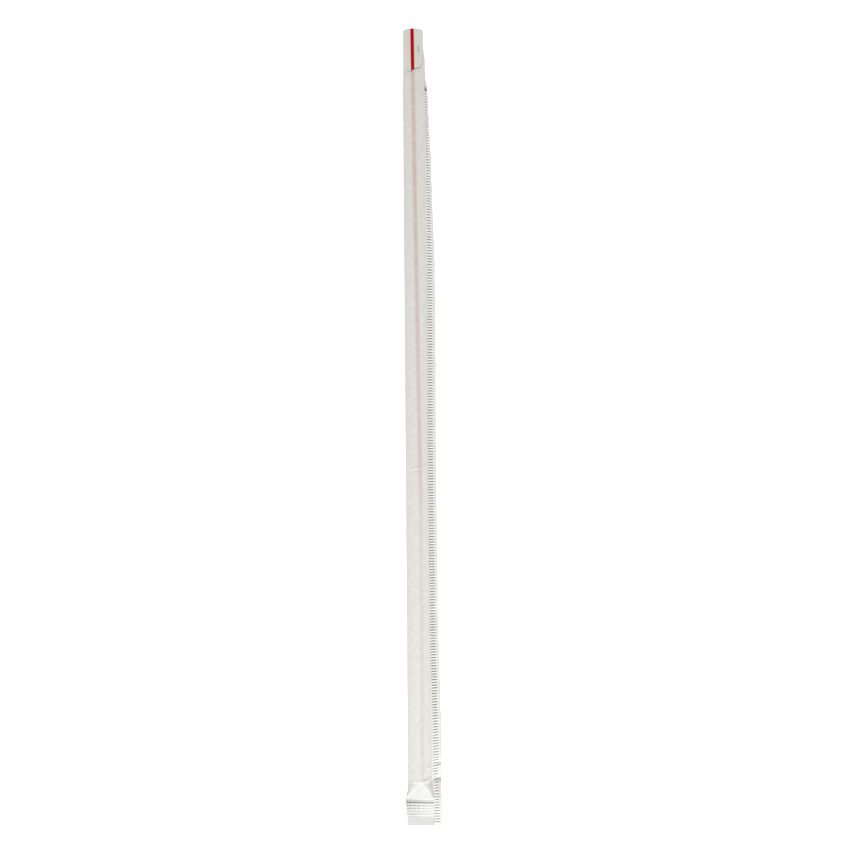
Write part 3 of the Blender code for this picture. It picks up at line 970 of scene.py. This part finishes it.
# Where the tear crosses the round part: turn in degrees, distance from the mouth in millimetres
TEAR = ((-8, 4.8), (8, 5.4), (28, 8.3), (38, 9.4), (47, 10.1), (56, 10.45), (83, 10.5), (100, 11.0),
        (141, 11.6), (180, 11.9), (270, 11.9), (325, 11.2), (340, 9.4), (352, 5.4))
ROUND_COLUMNS = 64


def torn_edge(column):
    """Where the tear crosses this column of the sheet, in metres from the straw's mouth."""
    share = column / ROUND_COLUMNS
    turn = -8 + 360 * share
    turn_before, line = TEAR[0]
    for turn_after, line_after in TEAR[1:]:
        if turn <= turn_after:
            line = between(line, line_after, (turn - turn_before) / (turn_after - turn_before))
            break
        turn_before, line = turn_after, line_after
    ragged = 0.16 * noise.noise(Vector((share * 21, 0.4, 0)))
    ragged += 0.10 * noise.noise(Vector((share * 75, 2.4, 0)))
    return (line + ragged) * MM


def seam_tear(side, reach_share, root_tear):
    """In the upper ply the tear runs on along the seam, in the lower ply it turns off short."""
    if side < 0:
        return root_tear + 1.5 * MM * reach_share
    return between(root_tear, UPPER_TEAR, smooth(reach_share / 0.13)) + 1.6 * MM * reach_share


print("torn at", [round(torn_edge(column) / MM, 1) for column in (0, 16, 32, 48, 64)], "mm")

# %% [markdown]
# ## The flat sheet
# The sheet starts as a grid. A column's number says which of the three stretches it is in, and a
# row's number how far from the mouth it is. The grid is coarse, because most of the tube is
# plain, and is divided again only where the paper has fine shape: along the seam, at the torn
# mouth, at the crease and at the closed end. That gives each rib its four rows.

# %% Number the flat sheet
SEAM_COLUMNS = (0, 0.13, 0.2, 0.42, 0.62, 0.8, 0.87, 1)
SEAM_STRIPS = len(SEAM_COLUMNS) - 1
COLUMNS = ROUND_COLUMNS + 2 * SEAM_STRIPS
ROW_STEP = 2 * RIB_PITCH
ROW_CUTS = 7
ROWS = 137
FIRST_ROW = RIB_PEAK - 265.125 * RIB_PITCH


def row_distance(row):
    """How far from the mouth a row is. The last row ends at the sheet's end."""
    last = ROWS - 1
    if row > last:
        return between(FIRST_ROW + last * ROW_STEP, TOTAL_LENGTH, row - last)
    return to_rib_corner(FIRST_ROW + row * ROW_STEP)


def table_share(table, position):
    """Reads a table between its entries."""
    index = min(int(position), len(table) - 2)
    return between(table[index], table[index + 1], position - index)


def sheet_column(column):
    """Turns a column's number into a side and a share: of the way round, or out from the root."""
    if column < SEAM_STRIPS:
        return 1, table_share(SEAM_COLUMNS, SEAM_STRIPS - column)
    if column <= SEAM_STRIPS + ROUND_COLUMNS:
        return 0, (column - SEAM_STRIPS) / ROUND_COLUMNS
    return -1, table_share(SEAM_COLUMNS, column - SEAM_STRIPS - ROUND_COLUMNS)


print("flat sheet:", COLUMNS, "columns,", ROWS, "rows")

# %% Cut the sheet
# The stretches of the round part that have fine shape, in millimetres from the mouth
FINE_STRETCHES = ((0, 16), (112, 119.6), (GABLE_AT / MM - 6.5, TOTAL_LENGTH / MM + 1))


def divide(mesh, chosen, cuts):
    """Divides the edges that a test on their middle and their direction picks."""
    edges = [edge for edge in mesh.edges if chosen(edge_middle(edge), edge)]
    bmesh.ops.subdivide_edges(mesh, edges=edges, cuts=cuts, use_grid_fill=True)


def runs_down(edge):
    return abs(edge.verts[0].co.x - edge.verts[1].co.x) < 1e-6


def in_seam(middle):
    return middle.x < SEAM_STRIPS + 0.01 or middle.x > SEAM_STRIPS + ROUND_COLUMNS - 0.01


def detailed(middle):
    distance = row_distance(middle.y) / MM
    return any(start < distance < end for start, end in FINE_STRETCHES)


def lay_sheet():
    """The flat sheet, with x as the column's number and y as the row's."""
    mesh = bmesh.new()
    bmesh.ops.create_grid(mesh, x_segments=COLUMNS, y_segments=ROWS, size=0.5)
    bmesh.ops.translate(mesh, verts=mesh.verts, vec=(0.5, 0.5, 0))
    bmesh.ops.scale(mesh, verts=mesh.verts, vec=(COLUMNS, ROWS, 1))
    divide(mesh, lambda middle, edge: runs_down(edge) and (in_seam(middle) or detailed(middle)),
           ROW_CUTS)
    divide(mesh, lambda middle, edge: not runs_down(edge) and not in_seam(middle)
           and detailed(middle), 1)
    return mesh


sheet = lay_sheet()
print("cut sheet:", len(sheet.faces), "faces")

# %% [markdown]
# ## The marks on the paper, and its painted shade
# Each point of the sheet also gets the four marks that the paper's colour reads. Two plies pressed
# together let less through and look whiter, but the seam's plain border is duller than its ribs.
# The ribs' troughs and the torn seam's pocket get painted shade.

# %% Say how pressed the paper is
BORDER_DULL = 0.75
# The end seal's rib troughs get less painted shade than the seam's
SEAL_TROUGH_SHADE = 0.45
SEAL_PRESSED = 0.5
MARGIN_PRESSED = 0.13
BLEND = 0.4 * MM


def seam_marks(share, distance):
    """How double a spot of the seam is, how much painted shade its rib trough gets, and how much
    painted shadow it gets in the pocket.
    """
    pressed = smooth((distance - RIBS_START + 1 * MM) / (1 * MM))
    border = BORDER_DULL * (1 - 0.5 * rise(distance, 188, 10))
    border *= smooth((share - 0.72) / 0.12)
    double = pressed * smooth(share / 0.2) * (1 - border)
    # painted shade in the ribs' troughs, where the rib wave is below zero
    trough_shade = -seam_ribs(seam_reach(share, distance), distance)
    # the pocket's share, raised so that its painted shadow is dark right across it
    hollow = mouth_dent(share, distance) / (MOUTH_DENT[2] * MM)
    return double, trough_shade, 1.5 * hollow


def tube_marks(share, distance):
    """The same for the part that goes round, where only the end seal is pressed."""
    across = flat_across(share, distance)
    # painted shade in the end seal's rib troughs
    trough_shade = -SEAL_TROUGH_SHADE * seal_ribs(across, distance)
    in_seal = smooth((distance - SEAL_AT + BLEND) / BLEND)
    ribbed = in_seal * smooth((TOTAL_LENGTH - SEAL_MARGIN + BLEND - distance) / BLEND)
    ribbed *= rise(across, -4, 7)
    return in_seal * between(MARGIN_PRESSED, SEAL_PRESSED, ribbed), trough_shade, 0.0


print("seam's marks:", [round(mark, 2) for mark in seam_marks(0.5, 0.1)])

# %% [markdown]
# ## Fold the sheet
# Now every point goes where the folding rules send it, and the first rows are drawn to the line
# of the tear. The ribs get sharp edges, while the creases of the soft tube stay smooth. Last, a
# Solidify modifier gives the sheet its thickness, inwards.

# %% Fold the sheet
TEAR_REACH = 4.6 * MM
TORN_FIBRES = 0.35 * MM
FOLD_ANGLE = 38
TUBE_REACH = 3.4 * MM


def fold_sheet(mesh):
    """Sends each point of the flat sheet to its place, and notes the marks that it bears."""
    # the third and fourth marks are painted shade: the ribs' troughs and the pocket's shadow
    names = ("torn", "double", "trough_shade", "pocket_shadow")
    layers = [mesh.verts.layers.float.new(name) for name in names]
    for vert in mesh.verts:
        side, share = sheet_column(vert.co.x)
        distance = row_distance(vert.co.y)
        tear = torn_edge(min(max(vert.co.x - SEAM_STRIPS, 0), ROUND_COLUMNS))
        if side:
            tear = seam_tear(side, share, tear)
        if distance < FIRST_ROW + TEAR_REACH:
            distance = between(tear, FIRST_ROW + TEAR_REACH, (distance - FIRST_ROW) / TEAR_REACH)
        behind = max(0.0, distance - tear)
        marks = seam_marks(share, distance) if side else tube_marks(share, distance)
        for layer, mark in zip(layers, (1 - smooth(behind / TORN_FIBRES), *marks)):
            vert[layer] = clamp(mark)
        if side:
            vert.co = seam_spot(share, side, distance)
        else:
            vert.co = tube_spot(share, distance, behind)
            vert.co.z = max(vert.co.z, TABLE_GAP)
    bmesh.ops.remove_doubles(mesh, verts=mesh.verts, dist=1e-6)
    bmesh.ops.recalc_face_normals(mesh, faces=mesh.faces)
    mesh.normal_update()


def outward_faces(mesh):
    """Turns the open sheet's faces so that they look away from the straw."""
    total = 0.0
    for face in mesh.faces:
        centre = face.calc_center_median()
        away = Vector((centre.x - AXIS_ACROSS, 0, centre.z - AXIS_HEIGHT))
        if centre.y > MOUTH_Y - GABLE_AT and away.length < TUBE_REACH:
            total += face.normal.dot(away)
    if total < 0:
        bmesh.ops.reverse_faces(mesh, faces=mesh.faces)


def sharpen_ribs(data):
    """Gives the pressed ribs crisp corners."""
    data.set_sharp_from_angle(angle=math.radians(FOLD_ANGLE))
    double = data.attributes["double"].data
    for edge in data.edges:
        in_seal = data.vertices[edge.vertices[0]].co.y < MOUTH_Y - SEAL_AT
        if not in_seal and min(double[index].value for index in edge.vertices) < 0.5:
            edge.use_edge_sharp = False


fold_sheet(sheet)
outward_faces(sheet)
wrapper = finish_piece("folded_paper", sheet, PAPER_WHITE, "paper_wrapper")
sharpen_ribs(wrapper.data)
thickness = wrapper.modifiers.new("paper_thickness", "SOLIDIFY")
thickness.thickness = PAPER
thickness.offset = -1
print("wrapper mesh:", len(wrapper.data.polygons), "faces on one side")

# %% [markdown]
# ## The table and the light
# The object lies on a plain white ground with hardly a shadow. The floor is a white surface whose
# own light is seen by the camera alone, so it looks white without lighting the paper from below,
# and the straw's soft shadow still falls on it. The main light is a long strip beyond the sealed
# end: that is what picks out each rib, bright on one flank and dark on the other. Two weak panels
# at the sides keep the round tube evenly light right up to its edges.

# %% Lay the floor and set the lights
FLOOR_SIZE = 1.2
# Each lamp: its name, its place, its size in metres and its power in watts
LAMPS = (
    ("strip_light", (0.01, -0.68, 0.49), (1.7, 0.12), 10.6),
    ("left_panel", (-0.70, 0.0, 0.18), (1.2, 0.3), 1.3),
    ("right_panel", (0.70, 0.0, 0.18), (1.2, 0.3), 1.3),
)
FILL_LIGHT = 0.38
FLOOR_GLOW = 0.8


def build_floor():
    mesh = bmesh.new()
    bmesh.ops.create_grid(mesh, x_segments=1, y_segments=1, size=FLOOR_SIZE / 2)
    material, tree, shader = new_material("white_ground")
    feed(tree, shader, Base_Color=linear("#dededd"), Roughness=0.9, Specular_IOR_Level=0.0)
    path = node(tree, "LightPath").node.outputs
    seen = node(tree, "Math", path["Is Camera Ray"], path["Is Glossy Ray"], operation="MAXIMUM")
    glow = node(tree, "Math", seen, FLOOR_GLOW, operation="MULTIPLY")
    glow = node(tree, "Emission", Strength=glow)
    added = node(tree, "AddShader", shader.outputs[0], glow)
    tree.links.new(added, tree.nodes["Material Output"].inputs["Surface"])
    floor = make_object("floor", mesh, material)


def add_lamp(name, spot, size, power):
    """A long soft light, turned to the middle of the straw."""
    data = bpy.data.lights.new(name, "AREA")
    data.shape = "RECTANGLE"
    data.size, data.size_y = size
    data.energy = power
    lamp = bpy.data.objects.new(name, data)
    lamp.location = spot
    lamp.rotation_euler = (-Vector(spot)).to_track_quat("-Z", "Y").to_euler()
    bpy.context.scene.collection.objects.link(lamp)


def set_world():
    world = bpy.data.worlds.new("soft_room")
    bpy.context.scene.world = world
    world.use_nodes = True
    tree = world.node_tree
    background = tree.nodes["Background"]
    seen = node(tree, "LightPath").node.outputs["Is Camera Ray"]
    strength = node(tree, "MapRange", seen, 0, 1, FILL_LIGHT, 1)
    feed(tree, background, Color=(1, 1, 1, 1), Strength=strength)


build_floor()
for lamp_name, lamp_place, lamp_size, lamp_power in LAMPS:
    add_lamp(lamp_name, lamp_place, lamp_size, lamp_power)
set_world()
